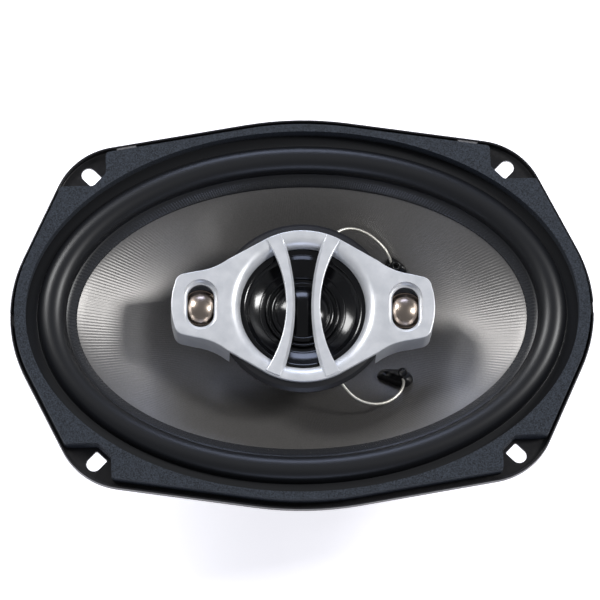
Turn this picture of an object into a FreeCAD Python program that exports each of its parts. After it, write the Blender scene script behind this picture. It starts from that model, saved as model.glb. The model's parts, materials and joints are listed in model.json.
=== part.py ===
"""Coaxial car loudspeaker, 6 x 9 inch oval, with a post-mounted pod of a midrange and two tweeters.

Millimetres. The origin is the centre of the flange's rear face, which sits on the panel.
+Z points out of the front, +X runs along the long axis of the oval.
"""
import FreeCAD, Part

import math
import os

V = FreeCAD.Vector
ORIGIN = V(0, 0, 0)
UP = V(0, 0, 1)

# ---- flange and basket
flange_length = 237.0
flange_width = 165.6
flange_sheet = 1.2              # pressed steel sheet of the flange and bowl
rim_wall = 0.9
rim_height = 4.2                # top of the turned-up rim above the panel
rim_notch_width = 5.0
rim_notch_depth = 3.0
tray_fillet = 0.5
rim_fillet = 0.3
roll_clearance = 0.4            # the flange's hole starts this far inside the roll's outer foot
long_side_angle = 9.0           # each long side is two straight runs, this far off the long axis
short_side_angle = 25.3
long_apex_radius = 135.0
short_apex_radius = 58.5
corner_radius = 29.0
bend_radius = 1.4               # outside of the bend between flange and rim
cutout_border = 7.5             # from the flange's half sizes to the panel cut-out that the bowl fills
bowl_depth = 36.0               # from the panel down to the spider ledge
ledge_length = 118.0
ledge_width = 110.0
spider_seat = 4.0               # width of the ledge under the spider's rim
motor_seat_depth = 46.0         # front face of the plate that carries the motor
motor_seat_border = 2.5         # the seat's rim stands out from the top plate by this much
window_low = 30.0               # the bowl's windows, as depths behind the panel
window_high = 8.5
window_corner = 3.0
window_wide = 40.0              # windows on the axes, and those between them
window_narrow = 30.0
window_inner_reach = 30.0       # how far the window cutters reach each side of the bowl's wall
window_outer_reach = 60.0

# ---- screw slots and grille-clip slots in the flange
screw_inset_x = 5.982           # from the flange outline's square corner
screw_inset_y = 8.470
screw_slot_radius = 3.0
screw_slot_length = 7.8
screw_slot_corner = 0.8
clip_slot_inset = 21.832         # from the same corner, along the long side
clip_slot_length = 8.0
clip_slot_width = 2.2
clip_slot_rise = 0.6            # the slot also marks the foot of the rim, this high

# ---- soft parts of the woofer, as insets from the flange's half length and half width
gasket_inset = 6.3
gasket_gap_short = 0.8          # from the rim to the gasket, at the short and the long sides
gasket_gap_long = 2.2
gasket_top = 8.0
gasket_notch = 7.0              # from a screw slot's round end to the edge of the gasket's cut-out
gasket_notch_slope = (5.2, 5.4) # the cut-out's slanted inner corner, along X and Y
gasket_notch_fillet = 2.4
gasket_corner_fillet = 1.6
surround_land_inset = 3.6
roll_outer_inset = 11.2
roll_inner_inset = 22.3
roll_crest = 7.0
rubber = 0.8
cone_edge_inset = 27.0
cone_edge_z = -2.8
cone_rim_z = 0.2
cone_wall = 0.7
neck_ahead = 2.0                # from the spider to the cone's neck
spider_cloth = 0.5
spider_clearance = 0.8          # from the spider's edge to the bowl
spider_waves = 6
spider_wave_height = 2.4
spider_flats = (3.0, 1.5)       # flat rings at the former and at the ledge
seal_felt = 2.0
seal_clearance = 1.0

# ---- motor
pole_radius = 12.3
former_gap = 0.45               # pole to former
former_wall = 0.3
winding_wall = 0.4
winding_gap = 0.55              # winding to top plate
winding_front = 2.2             # how far the winding stands out of the top plate, in front and behind
winding_back = 2.8
former_tail = 1.0
top_plate_radius = 40.0
top_plate_thickness = 5.0
magnet_radius = 45.0
magnet_hole_gap = 6.0           # from the top plate's hole to the magnet's
magnet_height = 16.0
back_plate_radius = 41.0
back_plate_thickness = 5.0
boot_wall = 1.5
boot_lip = 4.0
boot_back_wall = 1.3
boot_chamfer = 1.2
rivet_edge = 4.0                # from a rivet's centre to the top plate's edge
rivet_radius = 1.8
rivet_head_radius = 3.0
rivet_head_height = 1.2

# ---- post and its nuts
post_radius = 4.0
nut_across_flats = 13.0
nut_height = 2.8
washer_radius = 7.6
washer_thickness = 1.0
nut_recess_gap = 0.6            # from the washer's edge to the recess in the yoke

# ---- terminals, on an ear of the motor seat
ear_half_width = 15.0
ear_extra = 20.0                # the ear runs this much further on one side, for the capacitor
ear_reach = 60.0
ear_overlap = 12.0              # the ear starts this far inside the motor seat's rim
board_thickness = 1.6
board_start = 48.0
blade_thickness = 0.8
blade_reach = 72.0
blade_spacing = 16.0
blade_wide = 6.3
blade_narrow = 4.8
terminal_rivet_y = 53.0
terminal_rivet_radius = 1.4
terminal_head_radius = 2.2
terminal_head_height = 0.8
tag_half_width = 1.2            # solder tag in front of each terminal rivet, with a post at its end
tag_post_y = 57.6
tag_post_radius = 1.0
tag_post_height = 2.4
blade_eye_radius = 0.9
blade_eye_inset = 5.0
board_border = 1.0
board_overhang = 2.0
capacitor_radius = 3.8
capacitor_length = 16.0
capacitor_border = 1.0          # from the ear's end
capacitor_fillet = 0.6

# ---- pod
pod_twist = -1.9                # the pod is screwed on a little out of line with the flange
pod_face = 13.3
bezel_plate = 1.5
cup_rim_radius = 35.6
cup_wall = 1.5
cup_bottom = -8.0
cup_top_inset = 0.2             # from the bezel's outline in to the cup's top
cup_top_wall = 0.5
cup_lip = 2.6                   # height of the band below the bezel, then the steps of the profile
cup_step = 2.6
cup_taper = 6.8
cup_step_drop = 2.0
cup_chamfer = 3.0
cup_floor_inset = 4.8
cup_slant = (0.7, 0.15, 0.1, -0.4, -0.5)   # drop of the inner profile's points, as shares of the wall
cup_shoulder = (1.3, 0.5, 1.8)  # the rounded top: in from the rim, and down from the bezel at two points
bezel_radius = 32.1
bezel_flank = 63.2              # angle where the round outline turns into the wings
bezel_edge = 2.0                # flat ring from the outline to the lip of the midrange opening
bezel_lip = 4.7                 # width of that lip, which rolls down into the opening
bezel_opening_z = 8.8
bezel_fillet = 0.5
lip_steps = 7
lip_wall = 1.2
lip_underside = 0.4
wing_depth = 14.0
wing_wall = 1.2
wing_cover = 1.2
wing_start = 24.0               # the wings' side walls start this far from the pod's centre
wing_side = [(-10.8, 19.3), (-5.2, 16.0), (1.8, 14.1),   # waist arc, then corner arc, as seen from
             (6.8, 13.0), (9.4, 11.7), (10.6, 9.2)]      # the tweeter's centre
wing_tip_reach = 12.0           # from a tweeter's centre to the end of its wing
tweeter_beside_cup = 5.8        # from the cup's rim to a tweeter's centre
tweeter_slot_width = 10.8
tweeter_slot_length = 18.0
tweeter_recess_width = 14.7
tweeter_recess_length = 22.0
tweeter_recess_depth = 2.4
recess_floor = 0.8
recess_fillet = 1.2
bar_front = 0.7                 # how far the two bars stand out of the bezel's face
bar_depth = 2.4
bar_inner = (3.3, 8.9)          # a bar's two sides: distance from the middle at its waist and at its ends
bar_outer = (6.9, 15.9)
bar_end_inset = (1.1, 3.1)      # the sides' ends, in from the bezel's outline
bar_outline_gap = 0.8           # a bar ends this far inside the bezel's outline
bar_bevel = (1.5, 1.0)          # bevel along the inner side: width and depth

# ---- midrange
mid_pot_radius = 15.0
mid_pot_wall = 1.8
mid_coil_radius = 12.5
mid_coil_wall = 0.3
mid_gap = 0.45
mid_cone_radius = 22.4
mid_frame_flange = 1.4
mid_edge_z = 7.4
mid_skin = 0.3
mid_ring_outer = 15.0
mid_ring_inner = 13.9
mid_ring_height = 0.9           # above the cone, with its edges cut back
mid_ring_edge = 0.3
mid_dome_height = 3.6
mid_pot_gap = 0.3               # from the post's end to the pot
mid_pot_height = 5.8
mid_pot_base = 1.2
mid_magnet_gap = 2.0
mid_plate_height = 1.6
mid_coil_front = 1.6            # the coil's ends, in front of the pot's face and behind it
mid_coil_back = 2.4
mid_neck_rise = 1.0
mid_edge_drop = 0.3
mid_frame_gap = 3.4             # from the cup's wall to the frame
mid_frame_land = 5.0
mid_frame_ledge = 0.4
mid_frame_foot = (2.6, 1.0)     # outside and inside, behind the pot's face
mid_film_inset = 1.0
mid_film = 0.4
mid_overlap = (1.2, 1.0)        # the surround over the cone's edge, and the bend under it
mid_roll_foot = (26.9, 26.6)
mid_roll_crest = (25.6, 24.2)
mid_roll_height = 0.7

# ---- tweeters
dome_radius = 7.5
dome_height = 3.5
dome_skin = 0.25
dome_clearance = 0.6            # from the dome's edge to the well cut for it in the cup's wall
dome_gap = 2.4                  # from the slot's plate down to the dome's edge
tweeter_frame_radius = 8.1
tweeter_pot_radius = 6.4
tweeter_pot_wall = 0.9
tweeter_magnet_radius = 4.6
tweeter_frame_depths = (2.2, 0.5)   # back and front, behind the dome's edge
tweeter_pot_depths = (4.6, 0.8)
tweeter_pot_base = 0.8

# ---- leads: braided tinsel, as hand-laid routes
lead_diameter = 1.2
lead_upper_route = [(11.9, 28.4, -3.5), (12.6, 33.6, -4.2), (16.2, 38.0, -5.6), (22.0, 39.4, -6.9),
                    (28.0, 37.4, -8.0), (33.0, 33.5, -9.3), (36.6, 29.2, -11.0), (38.0, 25.6, -14.4)]
lead_lower_route = [(14.6, -27.1, -3.5), (17.6, -31.6, -4.4), (22.6, -35.2, -5.8), (29.0, -36.6, -6.8),
                    (35.2, -34.8, -7.8), (39.6, -30.6, -9.0), (41.2, -25.8, -11.2), (40.6, -22.6, -14.9)]
upper_anchor = (9.0, 2.6, 1.8, 155.0)   # glue bead: length, its two end radii, and its turn
lower_anchor = (13.0, 3.3, 1.5, -19.0)
anchor_height = 4.2             # above the cone
cone_eyelet = (10.0, 37.6)      # eyelets on the back of the cone, for the leads from the terminals
cone_eyelet_radius = 1.5
cone_eyelet_back = -19.6
grommet_radius = 1.5
grommet_length = 6.0
grommet_reach = 1.47            # how far the grommets stand out of the cup

# ---- places worked out from the sizes above
half_length = flange_length / 2
half_width = flange_width / 2
long_angle = math.radians(long_side_angle)
short_angle = math.radians(short_side_angle)
long_offset = (half_width - long_apex_radius) * math.cos(long_angle) + long_apex_radius
short_offset = (half_length - short_apex_radius) * math.cos(short_angle) + short_apex_radius


def side_corner(to_long, to_short):
    """Where a long and a short side's lines meet, given each line's distance from the centre."""
    across = math.cos(long_angle + short_angle)
    return ((to_short * math.cos(long_angle) - to_long * math.sin(short_angle)) / across,
            (to_long * math.cos(short_angle) - to_short * math.sin(long_angle)) / across)


corner_x, corner_y = side_corner(long_offset, short_offset)
screw_x, screw_y = corner_x - screw_inset_x, corner_y - screw_inset_y
clip_slot_x = corner_x - clip_slot_inset
cutout_half_length, cutout_half_width = half_length - cutout_border, half_width - cutout_border
spider_radius = ledge_width / 2 - flange_sheet - spider_clearance
ledge_hole_radius = spider_radius - spider_seat
motor_seat_radius = top_plate_radius + motor_seat_border
rivet_circle = top_plate_radius - rivet_edge
seat_front = -motor_seat_depth
seat_back = seat_front - flange_sheet
plate_back = seat_back - top_plate_thickness
magnet_back = plate_back - magnet_height
yoke_back = magnet_back - back_plate_thickness
boot_back = yoke_back - boot_back_wall
former_inner = pole_radius + former_gap
former_outer = former_inner + former_wall
winding_outer = former_outer + winding_wall
gap_radius = winding_outer + winding_gap
magnet_hole_radius = gap_radius + magnet_hole_gap
nut_recess_radius = washer_radius + nut_recess_gap
winding_top = seat_back + winding_front
winding_bottom = plate_back - winding_back
former_bottom = winding_bottom - former_tail
bezel_back = pod_face - bezel_plate
bezel_lip_radius = bezel_radius - bezel_edge
bezel_opening_radius = bezel_lip_radius - bezel_lip
tweeter_x = cup_rim_radius + tweeter_beside_cup
wing_tip = tweeter_x + wing_tip_reach
recess_z = pod_face - tweeter_recess_depth
dome_base_z = recess_z - recess_floor - dome_gap
cup_floor = cup_bottom + cup_wall
post_top = cup_floor + nut_height
mid_pot_back = post_top + mid_pot_gap
mid_pot_front = mid_pot_back + mid_pot_height
mid_plate_back = mid_pot_front - mid_plate_height
mid_coil_top = mid_pot_front + mid_coil_front
mid_neck_z = mid_pot_front + mid_neck_rise
mid_cone_edge_z = mid_edge_z - mid_edge_drop
mid_frame_radius = cup_rim_radius - cup_wall - mid_frame_gap
ledge_front = -bowl_depth
neck_z = ledge_front + neck_ahead


# ---- helpers
def ring(half_x, half_y, z):
    """Closed ellipse (or circle) around the speaker's axis."""
    if abs(half_x - half_y) < 1e-6:
        return Part.Circle(V(0, 0, z), UP, half_x).toShape()
    return Part.Ellipse(V(0, 0, z), half_x, half_y).toShape()


def inset_ring(inset, z):
    return ring(half_length - inset, half_width - inset, z)


def shell_between(rings):
    """Solid whose wall runs through the given closed rings in order and back to the first."""
    faces = [Part.makeRuledSurface(a, b) for a, b in zip(rings, rings[1:] + rings[:1])]
    shell = Part.makeShell(faces)
    shell.sewShape()
    solid = Part.makeSolid(Part.makeShell(shell.Faces))
    if solid.Volume < 0:
        solid.reverse()
    return solid


def oval_block(half_x, half_y, z_low, z_high):
    return Part.Face(Part.Wire(ring(half_x, half_y, z_low))).extrude(V(0, 0, z_high - z_low))


def disc(radius, z_low, z_high, x=0.0, y=0.0):
    return Part.makeCylinder(radius, z_high - z_low, V(x, y, z_low))


def tube(outer, inner, z_low, z_high, x=0.0, y=0.0):
    return disc(outer, z_low, z_high, x, y).cut(disc(inner, z_low, z_high, x, y))


def turned(profile, x=0.0, y=0.0):
    """Solid of revolution about a vertical axis; the profile is a list of (radius, z)."""
    points = [V(x + r, y, z) for r, z in profile]
    face = Part.Face(Part.makePolygon(points + points[:1]))
    return face.revolve(V(x, y, 0), UP, 360)


def prism(points, z_low, z_high):
    corners = [V(x, y, z_low) for x, y in points]
    return Part.Face(Part.makePolygon(corners + corners[:1])).extrude(V(0, 0, z_high - z_low))


def box(x_low, x_high, y_low, y_high, z_low, z_high):
    return Part.makeBox(x_high - x_low, y_high - y_low, z_high - z_low, V(x_low, y_low, z_low))


def stadium(width, length, z_low, z_high, x, y=0.0):
    """Upright slot shape: a rectangle with round ends, long along Y."""
    r = width / 2
    run = length / 2 - r
    block = box(x - r, x + r, y - run, y + run, z_low, z_high)
    ends = [disc(r, z_low, z_high, x, y + side * run) for side in (-1, 1)]
    return block.fuse(ends).removeSplitter()


def hexagon(across_flats, z_low, z_high):
    r = across_flats / 2 / math.cos(math.radians(30))
    corners = [(r * math.cos(math.radians(60 * k)), r * math.sin(math.radians(60 * k))) for k in range(6)]
    return prism(corners, z_low, z_high)


def four_ways(shape):
    """The shape and its mirror images in the XZ and YZ planes."""
    side = [shape, shape.mirror(ORIGIN, V(1, 0, 0))]
    return side + [s.mirror(ORIGIN, V(0, 1, 0)) for s in side]


def mirrored_x(shape):
    return shape.mirror(ORIGIN, V(1, 0, 0))


def twisted(shape):
    """A pod piece turned by the pod's twist about the speaker's axis."""
    return shape.rotated(ORIGIN, UP, pod_twist)


def rounded_polygon(corners, radii, z):
    """Closed wire of straight sides with a tangent arc at every corner."""
    count = len(corners)
    starts, ends, middles = [], [], []
    for i, (corner, radius) in enumerate(zip(corners, radii)):
        here = V(corner[0], corner[1], z)
        before = V(corners[i - 1][0], corners[i - 1][1], z)
        after = V(corners[(i + 1) % count][0], corners[(i + 1) % count][1], z)
        to_before = (before - here).normalize()
        to_after = (after - here).normalize()
        half = to_before.getAngle(to_after) / 2
        reach = radius / math.tan(half)
        bisector = (to_before + to_after).normalize()
        starts.append(here + to_before * reach)
        ends.append(here + to_after * reach)
        middles.append(here + bisector * (radius / math.sin(half) - radius))
    edges = []
    for i in range(count):
        edges.append(Part.Arc(starts[i], middles[i], ends[i]).toShape())
        edges.append(Part.LineSegment(ends[i], starts[(i + 1) % count]).toShape())
    return Part.Wire(edges)


def flange_outline(z, inset_short=0.0, inset_long=0.0):
    """The flange's outline, or a line parallel to it: four bent sides with round corners."""
    to_long, to_short = long_offset - inset_long, short_offset - inset_short
    x, y = side_corner(to_long, to_short)
    tip_x, tip_y = to_short / math.cos(short_angle), to_long / math.cos(long_angle)
    corners = [(tip_x, 0), (x, y), (0, tip_y), (-x, y), (-tip_x, 0), (-x, -y), (0, -tip_y), (x, -y)]
    inset = (inset_short + inset_long) / 2
    end = short_apex_radius - inset_short
    corner = corner_radius - inset
    side = long_apex_radius - inset_long
    return rounded_polygon(corners, [end, corner, side, corner] * 2, z)


def routed_tube(route, diameter):
    """Round tube along straight runs joined by the largest tangent arcs that the runs allow."""
    points = [V(*p) for p in route]
    edges = []
    start = points[0]
    radii = []
    for before, here, after in zip(points, points[1:], points[2:]):
        to_before = (before - here).normalize()
        to_after = (after - here).normalize()
        half = to_before.getAngle(to_after) / 2
        reach = 0.45 * min((before - here).Length, (after - here).Length)
        radius = reach * math.tan(half)
        bisector = (to_before + to_after).normalize()
        middle = here + bisector * (radius / math.sin(half) - radius)
        enter, leave = here + to_before * reach, here + to_after * reach
        edges += [Part.LineSegment(start, enter).toShape(), Part.Arc(enter, middle, leave).toShape()]
        start = leave
        radii.append(round(radius, 1))
    edges.append(Part.LineSegment(start, points[-1]).toShape())
    path = Part.Wire(edges)
    length = path.Length
    section = Part.Wire(Part.Circle(points[0], points[1] - points[0], diameter / 2).toShape())
    solid = path.makePipeShell([section], True, False)
    expected = math.pi * diameter ** 2 / 4 * length
    print("lead: length %.1f, volume / expected %.3f, radii %s" % (length, solid.Volume / expected, radii))
    return solid


# ---- basket
def bowl_rings(offset):
    """Rings of the bowl from the panel down to the motor seat, moved inwards by offset."""
    return [ring(cutout_half_length - offset, cutout_half_width - offset, 0),
            ring(ledge_length / 2 - offset, ledge_width / 2 - offset, ledge_front)]


def bowl_window(angle_deg, width):
    """Cutter for one window: a rounded block that points outwards through the bowl's wall."""
    block = Part.makeBox(window_inner_reach + window_outer_reach, width, window_low - window_high,
                         V(-window_inner_reach, -width / 2, -window_low))
    block = block.makeFillet(window_corner, [e for e in block.Edges
                                             if abs(e.tangentAt(e.FirstParameter).x) > 0.9])
    angle = math.radians(angle_deg)
    mid_length = (cutout_half_length + ledge_length / 2) / 2
    mid_width = (cutout_half_width + ledge_width / 2) / 2
    facing = math.degrees(math.atan2(math.sin(angle) * mid_length, math.cos(angle) * mid_width))
    return block.rotated(ORIGIN, UP, facing).translated(
        V(mid_length * math.cos(angle), mid_width * math.sin(angle), 0))


def screw_slot():
    """Cutter at the first corner: round outer end, square inner end, on the line to the centre."""
    r = screw_slot_radius
    inner = screw_slot_length - r
    bar = box(-inner, 0, -r, r, -5, rim_height + 5)
    bar = bar.makeFillet(screw_slot_corner, [e for e in bar.Edges if e.Vertexes[0].X < -inner / 2
                                             and abs(e.tangentAt(e.FirstParameter).z) > 0.9])
    slot = bar.fuse(disc(r, -5, rim_height + 5)).removeSplitter()
    return slot.rotated(ORIGIN, UP, 45).translated(V(screw_x, screw_y, 0))


def clip_slot():
    """Cutter for one grille-clip slot, against the inside of the rim on the upper long side."""
    y = ((long_offset - rim_wall - clip_slot_width / 2 - clip_slot_x * math.sin(long_angle))
         / math.cos(long_angle))
    slot = box(-clip_slot_length / 2, clip_slot_length / 2, -clip_slot_width / 2, clip_slot_width / 2,
               -2, flange_sheet + clip_slot_rise)
    return slot.rotated(ORIGIN, UP, -long_side_angle).translated(V(clip_slot_x, y, 0))


def make_basket():
    outer = Part.Face(flange_outline(0)).extrude(V(0, 0, rim_height))
    outer = outer.makeFillet(bend_radius, [e for e in outer.Edges if e.BoundBox.ZMax < 0.01])
    hollow = Part.Face(flange_outline(flange_sheet, rim_wall, rim_wall)).extrude(V(0, 0, rim_height))
    hollow = hollow.makeFillet(tray_fillet, [e for e in hollow.Edges
                                             if e.BoundBox.ZMax < flange_sheet + 0.01])
    tray = outer.cut(hollow)
    tray = tray.makeFillet(rim_fillet, [e for e in tray.Edges if e.BoundBox.ZMin > rim_height - 0.01])
    plate_hole = Part.Face(Part.Wire(inset_ring(roll_outer_inset + roll_clearance, -1))).extrude(V(0, 0, 5))
    tray = tray.cut(plate_hole)
    sheet = flange_sheet
    bowl_out, ledge_out = bowl_rings(0)
    bowl_in, ledge_in = bowl_rings(sheet)
    bowl = shell_between([bowl_out, bowl_in, ledge_in, ledge_out])
    ledge = oval_block(ledge_length / 2, ledge_width / 2, ledge_front - sheet, ledge_front)
    ledge = ledge.cut(disc(ledge_hole_radius, ledge_front - 2 * sheet, ledge_front + sheet))
    step = turned([(ledge_hole_radius + sheet, ledge_front - sheet), (ledge_hole_radius, ledge_front - sheet),
                   (motor_seat_radius - sheet, seat_front), (motor_seat_radius - sheet, seat_back),
                   (motor_seat_radius, seat_back)])
    seat = tube(motor_seat_radius, magnet_hole_radius, seat_back, seat_front)
    ear = box(-ear_half_width, ear_half_width + ear_extra, motor_seat_radius - ear_overlap, ear_reach,
              seat_back, seat_front)
    ear = ear.cut(disc(motor_seat_radius - sheet, seat_back - 1, 0))
    windows = [bowl_window(k * 45, window_narrow if k % 2 else window_wide) for k in range(8)]
    notch = box(-half_length - 2, half_length + 2, -rim_notch_width / 2, rim_notch_width / 2,
                flange_sheet, rim_height + 1)
    notch = notch.cut(oval_block(half_length - rim_notch_depth, half_width - rim_notch_depth,
                                 0, rim_height + 2))
    bowl = bowl.cut(windows)
    slots = four_ways(screw_slot()) + [clip_slot(), mirrored_x(clip_slot())]
    holes = [rivet_shank(k) for k in range(4)] + terminal_shanks()
    body = tray.fuse([bowl, ledge, step, seat, ear])
    return body.cut(slots + [notch] + holes).removeSplitter()


# ---- woofer
def is_near(edge, line, upright, start):
    """True for an upright edge on the line x = line (or y = line) beyond its start, in any quadrant."""
    box_of = edge.BoundBox
    if max(box_of.XLength, box_of.YLength) > 0.01:
        return False
    x, y = abs(box_of.Center.x), abs(box_of.Center.y)
    across, along = (x, y) if upright else (y, x)
    return abs(across - line) < 0.01 and along > start + 1


def make_front_gasket():
    z_low = flange_sheet
    outer = Part.Face(flange_outline(z_low, rim_wall + gasket_gap_short, rim_wall + gasket_gap_long))
    foam = outer.extrude(V(0, 0, gasket_top - z_low))
    inside = oval_block(half_length - gasket_inset, half_width - gasket_inset, 0, gasket_top + 1)
    land = oval_block(half_length - surround_land_inset, half_width - surround_land_inset,
                      0, flange_sheet + rubber)
    edge_x, edge_y = screw_x - gasket_notch, screw_y - gasket_notch
    far = half_length + half_width
    slope_x, slope_y = gasket_notch_slope
    fillet = gasket_notch_fillet
    notch = rounded_polygon([(edge_x, far), (edge_x, edge_y + slope_y), (edge_x + slope_x, edge_y),
                             (far, edge_y), (far, far)], [1, fillet, fillet, 1, 1], 0)
    notch = Part.Face(notch).extrude(V(0, 0, gasket_top + 1))
    foam = foam.cut([inside, land] + four_ways(notch)).removeSplitter()
    beside_notch = [e for e in foam.Edges if is_near(e, edge_x, True, edge_y + slope_y)
                    or is_near(e, edge_y, False, edge_x + slope_x)]
    return foam.makeFillet(gasket_corner_fillet, beside_notch)


def roll_rings(height, thickness_inset, steps=8):
    """Rings of the half roll, from its outer foot to its inner foot, over a half-ellipse arch."""
    outer = roll_outer_inset + thickness_inset
    inner = roll_inner_inset - thickness_inset
    middle = (outer + inner) / 2
    reach = (inner - outer) / 2
    rings = []
    for k in range(steps + 1):
        angle = math.pi * k / steps
        foot = flange_sheet + (cone_rim_z + rubber - flange_sheet) * k / steps
        rings.append(inset_ring(middle - reach * math.cos(angle), foot + height * math.sin(angle)))
    return rings


def make_surround():
    top = flange_sheet + rubber
    lands = [inset_ring(surround_land_inset, flange_sheet), inset_ring(surround_land_inset, top)]
    crest = roll_crest - flange_sheet
    over = roll_rings(crest, -rubber / 2)
    over[0] = inset_ring(roll_outer_inset - rubber / 2, top)
    over[-1] = inset_ring(roll_inner_inset + rubber / 2, cone_rim_z + rubber)
    under = roll_rings(crest - rubber, rubber / 2)
    under[0] = inset_ring(roll_outer_inset + rubber / 2, flange_sheet)
    under[-1] = inset_ring(roll_inner_inset, cone_rim_z)
    glue = [inset_ring(cone_edge_inset, cone_edge_z + rubber), inset_ring(cone_edge_inset, cone_edge_z)]
    return shell_between(lands + over + glue + list(reversed(under)))


def make_cone():
    return shell_between([inset_ring(roll_inner_inset, cone_rim_z), inset_ring(cone_edge_inset, cone_edge_z),
                          ring(former_outer, former_outer, neck_z),
                          ring(former_outer, former_outer, neck_z - cone_wall),
                          inset_ring(cone_edge_inset, cone_edge_z - cone_wall),
                          inset_ring(roll_inner_inset, cone_rim_z - cone_wall)])


def under_cone(drop=0.0):
    """Everything behind the cone's front surface, moved back by drop."""
    rim = inset_ring(cone_edge_inset, cone_edge_z - drop)
    neck = ring(former_outer, former_outer, neck_z - drop)
    bowl = Part.makeLoft([Part.Wire(neck), Part.Wire(rim)], True, True)
    return oval_block(half_length, half_width, neck_z - drop - 5, cone_edge_z - drop).cut(bowl)


def make_spider():
    """Corrugated cloth disc: a triangle wave between the former and the ledge."""
    z = ledge_front
    first, last = former_outer + spider_flats[0], ledge_hole_radius - spider_flats[1]
    pitch = (last - first) / (2 * spider_waves)
    wave = [(first + pitch * k, z + spider_wave_height * (0.5 if k % 2 else -0.5))
            for k in range(1, 2 * spider_waves)]
    line = [(former_outer, z), (first, z)] + wave + [(last, z), (spider_radius, z)]
    upper = [(r, h + spider_cloth) for r, h in reversed(line)]
    return turned(line + upper)


def make_dust_seal():
    return tube(former_inner, post_radius + seal_clearance, neck_z - seal_felt, neck_z)


def lead_anchor(end, anchor):
    """Glue bead on the cone's front, under the lead's end point and drawn out to one side."""
    length, near_radius, far_radius, turn = anchor
    run = length - near_radius - far_radius
    z_low, z_high = neck_z, cone_edge_z + anchor_height
    bead = prism([(0, near_radius), (-run, far_radius), (-run, -far_radius), (0, -near_radius)],
                 z_low, z_high)
    bead = bead.fuse([disc(near_radius, z_low, z_high), disc(far_radius, z_low, z_high, -run, 0)])
    bead = bead.removeSplitter().rotated(ORIGIN, UP, turn).translated(V(end[0], end[1], 0))
    return bead.common(under_cone(-anchor_height)).cut(under_cone())


def make_cone_eyelets():
    """Two eyelets glued to the back of the cone."""
    pin = disc(cone_eyelet_radius, cone_eyelet_back, cone_edge_z, *cone_eyelet).common(under_cone(cone_wall))
    return Part.makeCompound([pin, mirrored_x(pin)])


# ---- motor
def rivet_place(k):
    angle = math.radians(45 + 90 * k)
    return rivet_circle * math.cos(angle), rivet_circle * math.sin(angle)


def rivet_shank(k):
    x, y = rivet_place(k)
    return disc(rivet_radius, plate_back, seat_front, x, y)


def make_plate_rivets():
    rivets = []
    for k in range(4):
        x, y = rivet_place(k)
        head = disc(rivet_head_radius, seat_front, seat_front + rivet_head_height, x, y)
        rivets.append(rivet_shank(k).fuse(head).removeSplitter())
    return Part.makeCompound(rivets)


def make_top_plate():
    plate = tube(top_plate_radius, gap_radius, plate_back, seat_back)
    return plate.cut([rivet_shank(k) for k in range(4)])


def make_magnet_ring():
    return tube(magnet_radius, magnet_hole_radius, magnet_back, plate_back)


def make_yoke():
    body = disc(back_plate_radius, yoke_back, magnet_back).fuse(disc(pole_radius, magnet_back, seat_back))
    bore = disc(post_radius, yoke_back - 1, seat_back + 1)
    recess = disc(nut_recess_radius, yoke_back - 1, yoke_back + washer_thickness + nut_height)
    return body.cut([bore, recess]).removeSplitter()


def make_magnet_boot():
    outer = magnet_radius + boot_wall
    return turned([(outer, plate_back - 1), (outer, boot_back + boot_chamfer),
                   (outer - boot_chamfer, boot_back),
                   (back_plate_radius - boot_lip, boot_back), (back_plate_radius - boot_lip, yoke_back),
                   (back_plate_radius, yoke_back), (back_plate_radius, magnet_back),
                   (magnet_radius, magnet_back), (magnet_radius, plate_back - 1)])


# ---- terminals
def terminal_shanks():
    x = blade_spacing / 2
    return [disc(terminal_rivet_radius, seat_back - board_thickness - blade_thickness, seat_front,
                 side * x, terminal_rivet_y) for side in (-1, 1)]


def make_terminal_board():
    half = ear_half_width - board_border
    board = box(-half, half, board_start, ear_reach + board_overhang, seat_back - board_thickness, seat_back)
    return board.cut(terminal_shanks())


def make_terminal(side, width):
    x = side * blade_spacing / 2
    z_low = seat_back - board_thickness - blade_thickness
    blade = box(x - width / 2, x + width / 2, board_start + board_border, blade_reach,
                z_low, z_low + blade_thickness)
    tip = width / 4
    blade = blade.makeChamfer(tip, [e for e in blade.Edges if e.Vertexes[0].Y > blade_reach - 0.01
                                    and e.Vertexes[1].Y > blade_reach - 0.01
                                    and abs(e.tangentAt(e.FirstParameter).z) > 0.9])
    eye = disc(blade_eye_radius, z_low - 1, z_low + 2, x, blade_reach - blade_eye_inset)
    return blade.cut([eye] + terminal_shanks())


def make_terminal_rivets():
    x = blade_spacing / 2
    back = seat_back - board_thickness - blade_thickness
    heads = []
    for side, shank in zip((-1, 1), terminal_shanks()):
        front = disc(terminal_head_radius, seat_front, seat_front + terminal_head_height, side * x,
                     terminal_rivet_y)
        rear = disc(terminal_head_radius, back - terminal_head_height, back, side * x, terminal_rivet_y)
        tag = box(side * x - tag_half_width, side * x + tag_half_width,
                  terminal_rivet_y + terminal_rivet_radius, tag_post_y + tag_half_width,
                  seat_front, seat_front + terminal_head_height)
        post = disc(tag_post_radius, seat_front, seat_front + tag_post_height, side * x, tag_post_y)
        heads.append(shank.fuse([front, rear, tag, post]).removeSplitter())
    return Part.makeCompound(heads)


def make_capacitor():
    x = ear_half_width + (ear_extra - capacitor_length) / 2
    z = seat_front + capacitor_radius
    y = ear_reach - capacitor_radius - capacitor_border
    can = Part.makeCylinder(capacitor_radius, capacitor_length, V(x, y, z), V(1, 0, 0))
    return can.makeFillet(capacitor_fillet, [e for e in can.Edges if len(e.Vertexes) == 1])


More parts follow.
